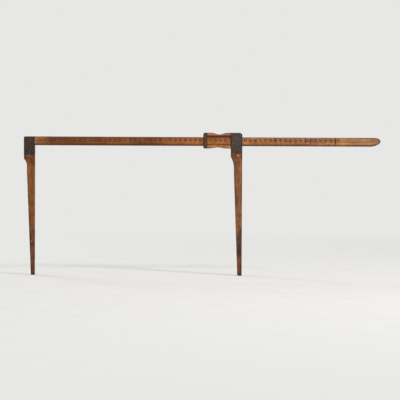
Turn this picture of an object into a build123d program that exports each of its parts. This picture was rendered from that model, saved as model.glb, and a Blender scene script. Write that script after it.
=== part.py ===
"""Wooden tree caliper: a graduated beam with a fixed jaw and a sliding jaw on a riveted guide frame.

Millimetres.  +X runs along the beam from the fixed jaw to the free end, +Z is up and the jaws point
down.  The origin is under the middle of the tool, level with the jaw tips.  The tool is the same
from the front (-Y) and from the back (+Y).
"""
import math
import os

from build123d import *

# ---------------------------------------------------------------- beam
BEAM_BEYOND_FACE = 1380.0      # from the fixed jaw's measuring face to the free end
BEAM_HEIGHT = 35.2
BEAM_THICKNESS = 17.4
BEAM_TOP_Z = 553.0             # jaw tips are at Z = 0
LOWER_CHAMFER_HEIGHT = 7.2     # the two lower edges are planed off more than the upper ones
LOWER_CHAMFER_DEPTH = 3.4
UPPER_CHAMFER = 1.2
NOSE_HEIGHT = 22.0             # the free end's foremost point, above the beam's underside
NOSE_UPPER_LENGTH = 26.0
NOSE_LOWER_LENGTH = 45.0

# ---------------------------------------------------------------- jaws
JAW_THICKNESS = 18.0
FIXED_NECK_WIDTH = 32.0
FIXED_TIP_WIDTH = 15.5
SLIDING_NECK_WIDTH = 33.0
SLIDING_TIP_WIDTH = 17.8
BEND_Z = 410.0                 # the neck is straight above this height and tapers below it
BEND_RADIUS = 500.0
JAW_EDGE_RADIUS = 2.0
SHOULDER_RADIUS = 6.0

# ---------------------------------------------------------------- fixed head
FIXED_HEAD_WIDTH = 44.0
FIXED_PLATE_HEIGHT = 71.5
FIXED_HEAD_CORNER = 5.5
FACE_PROUD = 0.4               # the measuring face stands this far out from the plated head
FIXED_SHOULDER_DROP = 89.5     # below the beam's top
FIXED_NECK_DROP = 117.0
TENON_THICKNESS = 9.0

# ---------------------------------------------------------------- slider
SLIDER_LENGTH = 156.0
SLIDER_HEAD_WIDTH = 46.0
SLIDER_READING = 828.0         # measuring face of the sliding jaw, from the fixed jaw's face
SLIDER_RISE = 18.0             # slider's top above the beam's top
HEAD_PLATE_DROP = 28.4         # plate's lower edge below the beam's underside
HEAD_PLATE_CORNER = 10.8
SLIDING_SHOULDER_DROP = 78.0   # below the beam's top
SLIDING_NECK_DROP = 125.0
RUNNING_GAP = 0.3              # between the beam and what slides on it
SPRING_SPACE = 7.0             # height of the slot above the beam
UPPER_SADDLE_START = 28.0      # from the slider's left end
UPPER_SADDLE_LENGTH = 74.0
UPPER_SADDLE_DEPTH = 7.0
LOWER_RAIL_HEIGHT = 9.7        # below the trough that the beam runs in
LIP_HEIGHT = 3.6               # the trough's lips above the beam's underside
LOWER_SADDLE_START = 20.0
LOWER_SADDLE_LENGTH = 78.0
LOWER_SADDLE_DEPTH = 4.4
END_PLATE_WIDTH = 16.0
END_TOP_CORNER = 7.0
END_LOWER_CORNER = 6.0
JAW_TENON_START = 16.0         # stub tenon on the sliding jaw, from the head's left side
JAW_TENON_WIDTH = 24.0

# ---------------------------------------------------------------- plates and rivets
PLATE_THICKNESS = 2.5
PLATE_BEVEL = 1.3
RIVET_RADIUS = 2.2
RIVET_HEAD_RADIUS = 4.0
RIVET_HEAD_HEIGHT = 1.2
RIVET_HEAD_ROUNDING = 0.9
RIVET_FIT = 0.05               # each hole is this much larger in radius than its shank
FIXED_TENON_RIVETS = ((-9.0, -9.0), (-35.0, -11.0), (-21.0, -26.0))  # from the face, from the beam's top
FIXED_JAW_RIVETS = ((-28.0, -54.0), (-10.0, -61.0))
UPPER_RAIL_RIVETS = ((9.0, 12.5), (34.0, 12.5))        # from the head's left side, from the beam's top
SLIDING_JAW_RIVETS = ((28.0, -40.8), (10.0, -55.5), (35.0, -55.5))
END_RIVETS = ((8.0, 12.5), (8.0, -40.8))               # from the slider's left end, from the beam's top

# ---------------------------------------------------------------- pressure strip and spring
STRIP_THICKNESS = 1.5
STRIP_WALL = 1.8
STRIP_HEIGHT = 6.2
STRIP_WIDTH = 16.6
STRIP_END_GAP = 0.6
GUIDE_PIN_RADIUS = 1.5
GUIDE_PIN_TOP = 12.0           # above the beam's top
GUIDE_HOLE_TOP = 13.0
GUIDE_PIN_PLACES = (20.0, 105.0)                       # from the slider's left end
SPRING_THICKNESS = 1.0
SPRING_WIDTH = 12.0
SPRING_HALF_LENGTH = 34.0
SPRING_RIVET_RADIUS = 1.25
SPRING_RIVET_HEAD_RADIUS = 2.6
SPRING_RIVET_HEAD_HEIGHT = 0.8
SPRING_RIVET_TOP_HEIGHT = 0.7
SPRING_RIVET_SEAT = 0.05       # the head is this far under the crown of the bowed leaf

# ---------------------------------------------------------------- worked out
TOTAL_LENGTH = BEAM_BEYOND_FACE + FIXED_HEAD_WIDTH
LEFT_X = -TOTAL_LENGTH / 2
RIGHT_X = TOTAL_LENGTH / 2
FIXED_FACE_X = LEFT_X + FIXED_HEAD_WIDTH
FIXED_HEAD_X = FIXED_FACE_X - FACE_PROUD
BEAM_UNDER_Z = BEAM_TOP_Z - BEAM_HEIGHT
FIXED_PLATE_LOW_Z = BEAM_TOP_Z - FIXED_PLATE_HEIGHT
SLIDING_FACE_X = FIXED_FACE_X + SLIDER_READING
SLIDER_LEFT_X = SLIDING_FACE_X - SLIDER_LENGTH
HEAD_LEFT_X = SLIDING_FACE_X - SLIDER_HEAD_WIDTH
SLIDER_TOP_Z = BEAM_TOP_Z + SLIDER_RISE
UPPER_RAIL_LOW_Z = BEAM_TOP_Z + SPRING_SPACE
TROUGH_FLOOR_Z = BEAM_UNDER_Z - RUNNING_GAP
LOWER_RAIL_TOP_Z = BEAM_UNDER_Z + LIP_HEIGHT
LOWER_RAIL_LOW_Z = TROUGH_FLOOR_Z - LOWER_RAIL_HEIGHT
HEAD_PLATE_LOW_Z = BEAM_UNDER_Z - HEAD_PLATE_DROP
HALF_JAW = JAW_THICKNESS / 2
STRIP_LOW_Z = BEAM_TOP_Z + RUNNING_GAP
STRIP_TOP_Z = STRIP_LOW_Z + STRIP_THICKNESS
SPRING_MIDDLE_X = SLIDER_LEFT_X + UPPER_SADDLE_START + UPPER_SADDLE_LENGTH / 2


def block(low, high):
    """Box between two corners."""
    size = [b - a for a, b in zip(low, high)]
    centre = [(a + b) / 2 for a, b in zip(low, high)]
    return Pos(*centre) * Box(*size)


def slab(face, low_y, high_y):
    """Face drawn as (x, z) pairs, made solid from low_y to high_y."""
    upright = Plane.XZ * face
    solid = extrude(upright, amount=high_y - low_y, dir=(0, 1, 0))
    return Pos(0, low_y, 0) * solid


def rounded(face, corner, radius):
    """Face with the vertex nearest to corner rounded."""
    target = Vector(*corner)
    vertex = face.vertices().sort_by(lambda v: (Vector(v.X, v.Y) - target).length)[0]
    return fillet(vertex, radius)


def rectangle(left, low, right, top):
    return make_face(Polyline((left, low), (right, low), (right, top), (left, top), close=True))


def rivet_places(pairs, from_x):
    """Places in the model of rivets given from a reference x and from the beam's top."""
    return [(from_x + dx, BEAM_TOP_Z + dz) for dx, dz in pairs]


def along_y(x, z, radius, low_y, high_y):
    """Cylinder parallel to Y."""
    middle_y = (low_y + high_y) / 2
    return Pos(x, middle_y, z) * Rot(90, 0, 0) * Cylinder(radius, high_y - low_y)


def drilled(solid, places):
    """Solid with a rivet hole through it at each place."""
    reach = JAW_THICKNESS
    for x, z in places:
        solid -= along_y(x, z, RIVET_RADIUS + RIVET_FIT, -reach, reach)
    return solid


def rivet(x, z):
    """One through rivet, hammered to a low dome on each plate."""
    outer = HALF_JAW + PLATE_THICKNESS
    dome = Cylinder(RIVET_HEAD_RADIUS, RIVET_HEAD_HEIGHT)
    dome = fillet(dome.edges().sort_by(Axis.Z)[-1], RIVET_HEAD_ROUNDING)
    dome_y = outer + RIVET_HEAD_HEIGHT / 2
    shank = along_y(x, z, RIVET_RADIUS, -outer, outer)
    front = Pos(x, -dome_y, z) * Rot(90, 0, 0) * dome
    back = Pos(x, dome_y, z) * Rot(-90, 0, 0) * dome
    return shank + front + back


def rivets(places):
    return Compound(children=[rivet(x, z) for x, z in places])


def cover_plate(face, front, places):
    """Flat iron plate with a bevelled outer rim, on the front or the back of a head."""
    outer = HALF_JAW + PLATE_THICKNESS
    plate = slab(face, -outer, -HALF_JAW) if front else slab(face, HALF_JAW, outer)
    rim = plate.faces().sort_by(Axis.Y)[0 if front else -1].edges()
    return drilled(chamfer(rim, PLATE_BEVEL), places)


# ---------------------------------------------------------------- outlines, as (x, z)
def fixed_head_outline(low_z):
    face = rectangle(LEFT_X, low_z, FIXED_HEAD_X, BEAM_TOP_Z)
    return rounded(face, (LEFT_X, BEAM_TOP_Z), FIXED_HEAD_CORNER)


def slider_head_outline():
    face = rectangle(HEAD_LEFT_X, HEAD_PLATE_LOW_Z, SLIDING_FACE_X, SLIDER_TOP_Z)
    return rounded(face, (SLIDING_FACE_X, SLIDER_TOP_Z), HEAD_PLATE_CORNER)


def slider_end_outline():
    right = SLIDER_LEFT_X + END_PLATE_WIDTH
    face = rectangle(SLIDER_LEFT_X, LOWER_RAIL_LOW_Z, right, SLIDER_TOP_Z)
    face = rounded(face, (SLIDER_LEFT_X, SLIDER_TOP_Z), END_TOP_CORNER)
    return rounded(face, (SLIDER_LEFT_X, LOWER_RAIL_LOW_Z), END_LOWER_CORNER)


def leg_outline(face_x, head_width, neck_width, tip_width, top_z, shoulder_z, neck_z):
    """Jaw below its head: shoulder, hollow curve into the neck, then a long taper to the tip."""
    outer_x = face_x - head_width
    neck_x = face_x - neck_width
    hollow = TangentArc((neck_x, neck_z), (outer_x, shoulder_z), tangent=(0, 1))
    straight = Polyline(
        (outer_x, shoulder_z),
        (outer_x, top_z),
        (face_x, top_z),
        (face_x, 0),
        (face_x - tip_width, 0),
        (neck_x, BEND_Z),
        (neck_x, neck_z),
    )
    face = make_face(hollow + straight)
    face = rounded(face, (outer_x, shoulder_z), SHOULDER_RADIUS)
    return rounded(face, (neck_x, BEND_Z), BEND_RADIUS)


def saddle(start_x, length, end_z, depth):
    """Smooth hollow in a rail's outer edge, level at both ends."""
    middle = (start_x + length / 2, end_z + depth)
    return Spline((start_x, end_z), middle, (start_x + length, end_z), tangents=((1, 0), (1, 0)))


def upper_rail_outline():
    start = SLIDER_LEFT_X + UPPER_SADDLE_START
    end = start + UPPER_SADDLE_LENGTH
    hollow = saddle(start, UPPER_SADDLE_LENGTH, SLIDER_TOP_Z, -UPPER_SADDLE_DEPTH)
    rest = Polyline(
        (end, SLIDER_TOP_Z),
        (SLIDING_FACE_X, SLIDER_TOP_Z),
        (SLIDING_FACE_X, UPPER_RAIL_LOW_Z),
        (SLIDER_LEFT_X, UPPER_RAIL_LOW_Z),
        (SLIDER_LEFT_X, SLIDER_TOP_Z),
        (start, SLIDER_TOP_Z),
    )
    face = make_face(hollow + rest)
    face = rounded(face, (SLIDING_FACE_X, SLIDER_TOP_Z), HEAD_PLATE_CORNER)
    return rounded(face, (SLIDER_LEFT_X, SLIDER_TOP_Z), END_TOP_CORNER)


def lower_rail_outline():
    start = SLIDER_LEFT_X + LOWER_SADDLE_START
    end = start + LOWER_SADDLE_LENGTH
    hollow = saddle(start, LOWER_SADDLE_LENGTH, LOWER_RAIL_LOW_Z, LOWER_SADDLE_DEPTH)
    rest = Polyline(
        (end, LOWER_RAIL_LOW_Z),
        (SLIDING_FACE_X, LOWER_RAIL_LOW_Z),
        (SLIDING_FACE_X, LOWER_RAIL_TOP_Z),
        (SLIDER_LEFT_X, LOWER_RAIL_TOP_Z),
        (SLIDER_LEFT_X, LOWER_RAIL_LOW_Z),
        (start, LOWER_RAIL_LOW_Z),
    )
    face = make_face(hollow + rest)
    return rounded(face, (SLIDER_LEFT_X, LOWER_RAIL_LOW_Z), END_LOWER_CORNER)


# ---------------------------------------------------------------- wooden pieces
def beam_section_bar():
    """Straight bar of the beam's section: lower edges planed off more than the upper ones."""
    half = BEAM_THICKNESS / 2
    section = make_face(
        Polyline(
            (-half + LOWER_CHAMFER_DEPTH, BEAM_UNDER_Z),
            (half - LOWER_CHAMFER_DEPTH, BEAM_UNDER_Z),
            (half, BEAM_UNDER_Z + LOWER_CHAMFER_HEIGHT),
            (half, BEAM_TOP_Z - UPPER_CHAMFER),
            (half - UPPER_CHAMFER, BEAM_TOP_Z),
            (-half + UPPER_CHAMFER, BEAM_TOP_Z),
            (-half, BEAM_TOP_Z - UPPER_CHAMFER),
            (-half, BEAM_UNDER_Z + LOWER_CHAMFER_HEIGHT),
            close=True,
        )
    )
    bar = extrude(Plane.YZ * section, amount=RIGHT_X - FIXED_HEAD_X, dir=(1, 0, 0))
    return Pos(FIXED_HEAD_X, 0, 0) * bar


def beam_outline():
    """Side of the beam: square at the fixed head, and planed round at the free end, more from below."""
    nose_z = BEAM_UNDER_Z + NOSE_HEIGHT
    upper_start = RIGHT_X - NOSE_UPPER_LENGTH
    lower_start = RIGHT_X - NOSE_LOWER_LENGTH
    upper_height = BEAM_TOP_Z - nose_z
    upper = EllipticalCenterArc((upper_start, nose_z), NOSE_UPPER_LENGTH, upper_height, 0)
    lower = EllipticalCenterArc((lower_start, nose_z), NOSE_LOWER_LENGTH, NOSE_HEIGHT, -90)
    straight = Polyline(
        (upper_start, BEAM_TOP_Z),
        (FIXED_HEAD_X, BEAM_TOP_Z),
        (FIXED_HEAD_X, BEAM_UNDER_Z),
        (lower_start, BEAM_UNDER_Z),
    )
    return make_face(lower + upper + straight)


def beam():
    """Graduated bar with a rounded free end and a tenon that fills the fixed jaw's bridle."""
    bar = beam_section_bar() & slab(beam_outline(), -HALF_JAW, HALF_JAW)
    tenon = slab(fixed_head_outline(BEAM_UNDER_Z), -TENON_THICKNESS / 2, TENON_THICKNESS / 2)
    return drilled(bar + tenon, rivet_places(FIXED_TENON_RIVETS, FIXED_FACE_X))


def leg(outline, top_z):
    """Lower part of a jaw, with every edge below its head rounded over."""
    solid = slab(outline, -HALF_JAW, HALF_JAW)
    half_radius = JAW_EDGE_RADIUS / 2

    def long_or_tip(edge):
        middle = edge.center()
        on_a_side = abs(abs(middle.Y) - HALF_JAW) < half_radius and middle.Z < top_z - half_radius
        return on_a_side or middle.Z < half_radius

    return fillet(solid.edges().filter_by(long_or_tip), JAW_EDGE_RADIUS)


def fixed_jaw():
    """Jaw with two thin cheeks that hold the beam's tenon, open at the top."""
    head = slab(fixed_head_outline(FIXED_PLATE_LOW_Z), -HALF_JAW, HALF_JAW)
    half_tenon = TENON_THICKNESS / 2
    head -= block((LEFT_X, -half_tenon, BEAM_UNDER_Z), (FIXED_HEAD_X, half_tenon, BEAM_TOP_Z))
    outline = leg_outline(
        FIXED_FACE_X,
        FIXED_HEAD_WIDTH,
        FIXED_NECK_WIDTH,
        FIXED_TIP_WIDTH,
        FIXED_PLATE_LOW_Z,
        BEAM_TOP_Z - FIXED_SHOULDER_DROP,
        BEAM_TOP_Z - FIXED_NECK_DROP,
    )
    places = rivet_places(FIXED_TENON_RIVETS + FIXED_JAW_RIVETS, FIXED_FACE_X)
    return drilled(head + leg(outline, FIXED_PLATE_LOW_Z), places)


def jaw_tenon():
    """Stub tenon on top of the sliding jaw, through the lower rail."""
    left = HEAD_LEFT_X + JAW_TENON_START
    half = TENON_THICKNESS / 2
    low = (left, -half, LOWER_RAIL_LOW_Z)
    return block(low, (left + JAW_TENON_WIDTH, half, TROUGH_FLOOR_Z))


def sliding_jaw():
    """Jaw under the guide frame, tenoned into the lower rail."""
    low = (HEAD_LEFT_X, -HALF_JAW, HEAD_PLATE_LOW_Z)
    head = block(low, (SLIDING_FACE_X, HALF_JAW, LOWER_RAIL_LOW_Z))
    outline = leg_outline(
        SLIDING_FACE_X,
        SLIDER_HEAD_WIDTH,
        SLIDING_NECK_WIDTH,
        SLIDING_TIP_WIDTH,
        HEAD_PLATE_LOW_Z,
        BEAM_TOP_Z - SLIDING_SHOULDER_DROP,
        BEAM_TOP_Z - SLIDING_NECK_DROP,
    )
    jaw = head + jaw_tenon() + leg(outline, HEAD_PLATE_LOW_Z)
    return drilled(jaw, rivet_places(SLIDING_JAW_RIVETS, HEAD_LEFT_X))


def guide_holes():
    """Blind holes in the upper rail for the pressure strip's pins."""
    height = BEAM_TOP_Z + GUIDE_HOLE_TOP - UPPER_RAIL_LOW_Z
    middle_z = UPPER_RAIL_LOW_Z + height / 2
    hole = Cylinder(GUIDE_PIN_RADIUS + RIVET_FIT, height)
    return [Pos(SLIDER_LEFT_X + place, 0, middle_z) * hole for place in GUIDE_PIN_PLACES]


def upper_rail():
    """Rail over the beam, hollowed on top for the hand."""
    rail = slab(upper_rail_outline(), -HALF_JAW, HALF_JAW)
    for hole in guide_holes():
        rail -= hole
    spring_hole = Cylinder(SPRING_RIVET_RADIUS + RIVET_FIT, SLIDER_RISE)
    rail -= Pos(SPRING_MIDDLE_X, 0, BEAM_TOP_Z + SLIDER_RISE / 2) * spring_hole
    rail = drilled(rail, rivet_places(UPPER_RAIL_RIVETS, HEAD_LEFT_X))
    return drilled(rail, rivet_places(END_RIVETS[:1], SLIDER_LEFT_X))


def trough():
    """Room for the beam's underside and lower chamfers, cut along the top of the lower rail."""
    slope = LOWER_CHAMFER_DEPTH / LOWER_CHAMFER_HEIGHT
    above = LIP_HEIGHT + 2 * RUNNING_GAP
    flat_half = BEAM_THICKNESS / 2 - LOWER_CHAMFER_DEPTH
    low_half = flat_half + RUNNING_GAP
    high_half = flat_half + slope * above + RUNNING_GAP * math.hypot(1, slope)
    section = make_face(
        Polyline(
            (-low_half, TROUGH_FLOOR_Z),
            (low_half, TROUGH_FLOOR_Z),
            (high_half, BEAM_UNDER_Z + above),
            (-high_half, BEAM_UNDER_Z + above),
            close=True,
        )
    )
    cut = extrude(Plane.YZ * section, amount=SLIDER_LENGTH, dir=(1, 0, 0))
    return Pos(SLIDER_LEFT_X, 0, 0) * cut


def lower_rail():
    """Rail under the beam, with a trough for its chamfered underside and hollowed for the fingers."""
    rail = slab(lower_rail_outline(), -HALF_JAW, HALF_JAW) - jaw_tenon() - trough()
    rail = drilled(rail, rivet_places(SLIDING_JAW_RIVETS[:1], HEAD_LEFT_X))
    return drilled(rail, rivet_places(END_RIVETS[1:], SLIDER_LEFT_X))


# ---------------------------------------------------------------- iron pieces
def fixed_head_plate(front):
    places = rivet_places(FIXED_TENON_RIVETS + FIXED_JAW_RIVETS, FIXED_FACE_X)
    return cover_plate(fixed_head_outline(FIXED_PLATE_LOW_Z), front, places)


def slider_head_plate(front):
    places = rivet_places(UPPER_RAIL_RIVETS + SLIDING_JAW_RIVETS, HEAD_LEFT_X)
    return cover_plate(slider_head_outline(), front, places)


def slider_end_plate(front):
    return cover_plate(slider_end_outline(), front, rivet_places(END_RIVETS, SLIDER_LEFT_X))


def pressure_strip():
    """Loose iron channel that bears on the beam's top edge and hides the leaf spring inside it."""
    left = SLIDER_LEFT_X + STRIP_END_GAP
    right = SLIDING_FACE_X - STRIP_END_GAP
    half = STRIP_WIDTH / 2
    inner = half - STRIP_WALL
    strip = block((left, -half, STRIP_LOW_Z), (right, half, STRIP_LOW_Z + STRIP_HEIGHT))
    strip -= block((left, -inner, STRIP_TOP_Z), (right, inner, STRIP_LOW_Z + STRIP_HEIGHT))
    middle_z = (STRIP_LOW_Z + STRIP_TOP_Z) / 2
    for place in GUIDE_PIN_PLACES:
        strip -= Pos(SLIDER_LEFT_X + place, 0, middle_z) * Cylinder(GUIDE_PIN_RADIUS, STRIP_THICKNESS)
    return strip


def strip_guide_pins():
    """Pins fixed in the strip, free to rise and fall in the upper rail."""
    height = BEAM_TOP_Z + GUIDE_PIN_TOP - STRIP_LOW_Z
    pin = Cylinder(GUIDE_PIN_RADIUS, height)
    middle_z = STRIP_LOW_Z + height / 2
    return Compound(children=[Pos(SLIDER_LEFT_X + place, 0, middle_z) * pin for place in GUIDE_PIN_PLACES])


def tension_spring():
    """Bowed steel leaf: its ends press on the strip and its middle on the upper rail."""
    left = SPRING_MIDDLE_X - SPRING_HALF_LENGTH
    right = SPRING_MIDDLE_X + SPRING_HALF_LENGTH
    raised = STRIP_TOP_Z + SPRING_THICKNESS
    crown_low = UPPER_RAIL_LOW_Z - SPRING_THICKNESS
    under = ThreePointArc((left, STRIP_TOP_Z), (SPRING_MIDDLE_X, crown_low), (right, STRIP_TOP_Z))
    over = ThreePointArc((right, raised), (SPRING_MIDDLE_X, UPPER_RAIL_LOW_Z), (left, raised))
    ends = Line((right, STRIP_TOP_Z), (right, raised)) + Line((left, raised), (left, STRIP_TOP_Z))
    leaf = slab(make_face(under + over + ends), -SPRING_WIDTH / 2, SPRING_WIDTH / 2)
    hole = Cylinder(SPRING_RIVET_RADIUS + RIVET_FIT, SPRING_SPACE)
    return leaf - Pos(SPRING_MIDDLE_X, 0, UPPER_RAIL_LOW_Z) * hole


def spring_rivet():
    """Rivet through the leaf's crown and the thin middle of the upper rail."""
    leaf_low_z = UPPER_RAIL_LOW_Z - SPRING_THICKNESS - SPRING_RIVET_SEAT
    saddle_z = SLIDER_TOP_Z - UPPER_SADDLE_DEPTH
    low_z = leaf_low_z - SPRING_RIVET_HEAD_HEIGHT
    top_z = saddle_z + SPRING_RIVET_TOP_HEIGHT
    shank = Cylinder(SPRING_RIVET_RADIUS, top_z - low_z)
    head = Cylinder(SPRING_RIVET_HEAD_RADIUS, SPRING_RIVET_HEAD_HEIGHT)
    body = Pos(SPRING_MIDDLE_X, 0, (low_z + top_z) / 2) * shank
    return body + Pos(SPRING_MIDDLE_X, 0, low_z + SPRING_RIVET_HEAD_HEIGHT / 2) * head


NODES = {
    "beam": beam(),
    "fixed_jaw": fixed_jaw(),
    "fixed_head_plate_front": fixed_head_plate(True),
    "fixed_head_plate_back": fixed_head_plate(False),
    "fixed_tenon_rivets": rivets(rivet_places(FIXED_TENON_RIVETS, FIXED_FACE_X)),
    "fixed_jaw_rivets": rivets(rivet_places(FIXED_JAW_RIVETS, FIXED_FACE_X)),
    "sliding_jaw": sliding_jaw(),
    "upper_rail": upper_rail(),
    "lower_rail": lower_rail(),
    "slider_head_plate_front": slider_head_plate(True),
    "slider_head_plate_back": slider_head_plate(False),
    "slider_end_plate_front": slider_end_plate(True),
    "slider_end_plate_back": slider_end_plate(False),
    "upper_rail_rivets": rivets(rivet_places(UPPER_RAIL_RIVETS, HEAD_LEFT_X)),
    "sliding_jaw_rivets": rivets(rivet_places(SLIDING_JAW_RIVETS, HEAD_LEFT_X)),
    "slider_end_rivets": rivets(rivet_places(END_RIVETS, SLIDER_LEFT_X)),
    "pressure_strip": pressure_strip(),
    "strip_guide_pins": strip_guide_pins(),
    "tension_spring": tension_spring(),
    "spring_rivet": spring_rivet(),
}

os.makedirs("parts", exist_ok=True)
for name, shape in NODES.items():
    export_step(shape, f"parts/{name}.step")
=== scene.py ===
"""Looks of the wooden tree caliper: worn wood, blackened iron, stamped scale, studio and camera."""
import math
import random

import bpy
import bmesh
from mathutils import Matrix, Vector, noise


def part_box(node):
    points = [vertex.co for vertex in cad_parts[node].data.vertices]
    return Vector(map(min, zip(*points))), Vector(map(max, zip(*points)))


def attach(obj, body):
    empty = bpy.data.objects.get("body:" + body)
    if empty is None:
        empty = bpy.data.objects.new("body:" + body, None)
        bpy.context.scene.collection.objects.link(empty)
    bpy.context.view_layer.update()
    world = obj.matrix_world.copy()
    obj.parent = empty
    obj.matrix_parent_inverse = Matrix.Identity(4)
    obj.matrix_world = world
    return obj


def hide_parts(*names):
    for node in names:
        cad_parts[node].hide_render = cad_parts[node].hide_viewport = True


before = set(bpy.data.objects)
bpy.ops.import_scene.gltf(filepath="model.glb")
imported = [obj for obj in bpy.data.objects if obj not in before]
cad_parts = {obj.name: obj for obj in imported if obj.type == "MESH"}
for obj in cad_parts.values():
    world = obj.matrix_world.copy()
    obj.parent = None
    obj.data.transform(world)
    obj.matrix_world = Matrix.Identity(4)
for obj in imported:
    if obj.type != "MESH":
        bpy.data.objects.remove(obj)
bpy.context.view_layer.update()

MM = 0.001
FIXED = "beam_and_fixed_jaw"             # the two bodies of the frame
SLIDER = "slider"
X, Y, Z = 0, 1, 2

# ------------------------------------------------------------------ places read from the frame
beam_low, beam_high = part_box("beam")
fixed_low, fixed_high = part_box("fixed_jaw")
sliding_low, sliding_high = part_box("sliding_jaw")
fixed_plate_low, fixed_plate_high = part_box("fixed_head_plate_front")
head_plate_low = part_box("slider_head_plate_front")[0]
upper_low, upper_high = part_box("upper_rail")
lower_low, lower_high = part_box("lower_rail")
ZERO_X = fixed_high.x                    # measuring face of the fixed jaw: zero of the scale
SLIDE_X = sliding_high.x                 # measuring face of the sliding jaw
BEAM_TOP = beam_high.z
BEAM_FACE_Y = beam_high.y
BEAM_LENGTH = beam_high.x - beam_low.x

# ------------------------------------------------------------------ scale on the beam
STEP = 20 * MM
LAST_MARK = 60
NUMBER_HEIGHT = 13.0 * MM
DIGIT_WIDTH = 0.66                       # of the typeface's own width
DIGIT_BOLD = 0.012                       # added round every stroke, of the typeface's size
SHARPEST_MOVE = 1.8                      # furthest that a sharp corner moves for it, times DIGIT_BOLD
NUMBER_CENTRE = 12.0 * MM                # below the beam's top
DIGIT_ADVANCE = 0.45                     # of the number's height
NARROW_ADVANCE = 0.27                    # the same for a 1
TICK_FOOT = 25.3 * MM                    # below the beam's top
LONG_TICK = 6.2 * MM
SHORT_TICK = 5.0 * MM
TICK_WIDTH = 1.1 * MM
TICK_TAPER = 0.45                        # width at the top, of the width at the foot
WAIST_HEIGHT = 0.6                       # of a mark's height: halfway between its two widths
FULL_LINE_FOOT = 27.6 * MM
FULL_LINE = 26.6 * MM
FULL_LINE_WIDTHS = {96: 2.0 * MM, 108: 2.4 * MM, 110: 2.2 * MM, 120: 4.0 * MM}   # by reading in cm
LINE_MARGIN = 0.4 * MM                   # between a full line and the digits on its two sides
MARK_PROUD = 0.03 * MM
MARK_SINK = 0.45 * MM

PALE = (0.80, 0.80, 0.79)                # tone of the studio, linear
AMBIENT = 0.6                            # light from the studio's tone, against 1 as it is seen


def srgb(r, g, b):
    """Linear colour of an 8-bit sRGB one."""

    def channel(v):
        v /= 255
        return v / 12.92 if v <= 0.04045 else ((v + 0.055) / 1.055) ** 2.4

    return (channel(r), channel(g), channel(b), 1.0)


# ------------------------------------------------------------------ material building
class Graph:
    """A material under construction: short names for the nodes that the recipes below share."""

    def __init__(self, name):
        self.material = bpy.data.materials.new(name)
        self.material.use_nodes = True
        self.tree = self.material.node_tree
        self.shader = self.tree.nodes["Principled BSDF"]
        self.here = self.node("ShaderNodeTexCoord").outputs["Object"]
        self.xyz = self.node("ShaderNodeSeparateXYZ", [self.here]).outputs

    def node(self, kind, inputs=(), **settings):
        made = self.tree.nodes.new(kind)
        for key, value in settings.items():
            setattr(made, key, value)
        pairs = inputs.items() if isinstance(inputs, dict) else enumerate(inputs)
        for key, value in pairs:
            self.plug(value, made.inputs[key])
        return made

    def plug(self, value, socket):
        if isinstance(value, bpy.types.NodeSocket):
            self.tree.links.new(value, socket)
        else:
            socket.default_value = value

    def math(self, operation, a, b=0.0, clamp=False):
        made = self.node("ShaderNodeMath", [a, b], operation=operation, use_clamp=clamp)
        return made.outputs[0]

    def stretched(self, x, y, z, shift=0.0):
        """Object coordinates times x, y, z: a small factor stretches a pattern along that axis."""
        inputs = {"Vector": self.here, "Scale": (x, y, z), "Location": (shift, shift, shift)}
        return self.node("ShaderNodeMapping", inputs).outputs[0]

    def noise(self, vector, scale=1.0, detail=3.0, roughness=0.5, distortion=0.0):
        inputs = {"Vector": vector, "Scale": scale, "Detail": detail}
        inputs.update({"Roughness": roughness, "Distortion": distortion})
        return self.node("ShaderNodeTexNoise", inputs).outputs[0]

    def ramp(self, factor, stops):
        """Colour ramp; each stop is (position, colour)."""
        made = self.node("ShaderNodeValToRGB", [factor])
        elements = made.color_ramp.elements
        while len(elements) < len(stops):
            elements.new(1.0)
        for element, (position, colour) in zip(elements, stops):
            element.position = position
            element.color = colour
        return made.outputs[0]

    def band(self, value, low, high, to_low=0.0, to_high=1.0):
        """value mapped smoothly from low..high to to_low..to_high."""
        inputs = {0: value, 1: low, 2: high, 3: to_low, 4: to_high}
        made = self.node("ShaderNodeMapRange", inputs, interpolation_type="SMOOTHSTEP")
        return made.outputs[0]

    def mix(self, factor, a, b, blend="MIX"):
        made = self.node("ShaderNodeMix", data_type="RGBA", blend_type=blend)
        for key, value in (("Factor_Float", factor), ("A_Color", a), ("B_Color", b)):
            self.plug(value, next(s for s in made.inputs if s.identifier == key))
        return next(s for s in made.outputs if s.identifier == "Result_Color")

    def scaled(self, colour, value):
        """Colour times a grey value."""
        grey = self.node("ShaderNodeCombineColor", [value, value, value]).outputs[0]
        return self.mix(1.0, colour, grey, "MULTIPLY")

    def edge(self):
        """1 on a piece's rounded edges and 0 on its flats, from the mesh."""
        return self.node("ShaderNodeAttribute", attribute_name="edge").outputs["Fac"]

    def patch(self, centre, radii):
        """1 in the middle of a ragged oval place and 0 outside it."""
        offset = self.node("ShaderNodeVectorMath", [self.here, centre], operation="SUBTRACT")
        offset = self.node("ShaderNodeVectorMath", [offset.outputs[0], radii], operation="DIVIDE")
        length = self.node("ShaderNodeVectorMath", [offset.outputs[0]], operation="LENGTH")
        ragged = self.math("MULTIPLY", self.noise(self.here, 160.0, 4.0, 0.6), 0.9)
        reach = self.math("ADD", length.outputs["Value"], ragged)
        return self.band(reach, 0.75, 1.5, 1.0, 0.0)

    def bump(self, height, distance):
        inputs = {"Height": height, "Distance": distance, "Strength": 1.0}
        self.plug(self.node("ShaderNodeBump", inputs).outputs[0], self.shader.inputs["Normal"])

    def finish(self, colour, roughness):
        self.plug(colour, self.shader.inputs["Base Color"])
        self.plug(roughness, self.shader.inputs["Roughness"])
        return self.material


def along(axis, slow, fast):
    """Scale factors of a pattern that is slow along the grain's axis and fast across it."""
    return tuple(slow if axis == index else fast for index in (X, Y, Z))


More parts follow.
